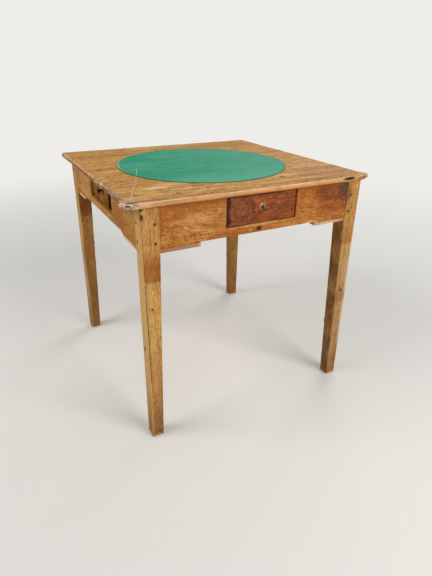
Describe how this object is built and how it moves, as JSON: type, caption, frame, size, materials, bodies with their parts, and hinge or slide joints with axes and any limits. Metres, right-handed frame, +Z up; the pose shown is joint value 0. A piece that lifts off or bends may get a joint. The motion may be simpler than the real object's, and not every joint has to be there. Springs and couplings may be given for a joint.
{
  "type": "games table",
  "caption": "Square old pine games table on tapered legs, with a round green cloth on the top and a small drawer with a brass knob in each side.",
  "frame": {"origin": "on the floor, under the middle of the top", "axes": "+Z up out of the top, -Y towards the front drawer, -X towards the left drawer"},
  "size_m": [0.778, 0.775, 0.742],
  "materials": {
    "top_pine": "worn satin, golden old pine",
    "apron_pine": "worn satin, orange brown old pine",
    "leg_pine": "worn satin, yellow to orange old pine",
    "red_brown_pine": "worn satin, stained red brown pine",
    "raw_pine": "matt, unfinished aged pine",
    "peg_oak": "matt, dark wooden pegs",
    "green_cloth": "matt felted wool cloth",
    "old_brass": "tarnished brass",
    "dark_iron": "dull dark iron"
  },
  "bodies": {
    "frame": {"back_apron": "apron_pine", "back_left_leg": "leg_pine", "back_right_leg": "leg_pine", "drawer_stops": "raw_pine", "front_apron": "apron_pine", "front_left_leg": "leg_pine", "front_right_leg": "leg_pine", "left_apron": "apron_pine", "left_drawer_back_runner": "raw_pine", "left_drawer_front_runner": "raw_pine", "left_long_runner": "raw_pine", "playing_cloth": "green_cloth", "right_apron": "apron_pine", "right_drawer_back_runner": "raw_pine", "right_drawer_front_runner": "raw_pine", "right_long_runner": "raw_pine", "tenon_pegs": "peg_oak", "top_board_1": "top_pine", "top_board_2": "top_pine", "top_board_3": "top_pine", "top_board_4": "top_pine", "top_nails": "dark_iron"},
    "front_drawer": {"front_drawer_back": "raw_pine", "front_drawer_bottom": "raw_pine", "front_drawer_front": "red_brown_pine", "front_drawer_knob": "old_brass", "front_drawer_left_side": "raw_pine", "front_drawer_nails": "dark_iron", "front_drawer_nut": "dark_iron", "front_drawer_right_side": "raw_pine", "front_drawer_rosette": "old_brass"},
    "back_drawer": {"back_drawer_back": "raw_pine", "back_drawer_bottom": "raw_pine", "back_drawer_front": "red_brown_pine", "back_drawer_knob": "old_brass", "back_drawer_left_side": "raw_pine", "back_drawer_nails": "dark_iron", "back_drawer_nut": "dark_iron", "back_drawer_right_side": "raw_pine", "back_drawer_rosette": "old_brass"},
    "left_drawer": {"left_drawer_back": "raw_pine", "left_drawer_bottom": "raw_pine", "left_drawer_front": "red_brown_pine", "left_drawer_knob": "old_brass", "left_drawer_left_side": "raw_pine", "left_drawer_nails": "dark_iron", "left_drawer_nut": "dark_iron", "left_drawer_right_side": "raw_pine", "left_drawer_rosette": "old_brass"},
    "right_drawer": {"right_drawer_back": "raw_pine", "right_drawer_bottom": "raw_pine", "right_drawer_front": "red_brown_pine", "right_drawer_knob": "old_brass", "right_drawer_left_side": "raw_pine", "right_drawer_nails": "dark_iron", "right_drawer_nut": "dark_iron", "right_drawer_right_side": "raw_pine", "right_drawer_rosette": "old_brass"}
  },
  "joints": [
    {"name": "front_drawer_slide", "type": "slide", "parent": "frame", "child": "front_drawer", "axis": [0, -1, 0], "range_m": [0, 0.15]},
    {"name": "back_drawer_slide", "type": "slide", "parent": "frame", "child": "back_drawer", "axis": [0, 1, 0], "range_m": [0, 0.15]},
    {"name": "left_drawer_slide", "type": "slide", "parent": "frame", "child": "left_drawer", "axis": [-1, 0, 0], "range_m": [0, 0.15]},
    {"name": "right_drawer_slide", "type": "slide", "parent": "frame", "child": "right_drawer", "axis": [1, 0, 0], "range_m": [0, 0.15]}
  ]
}
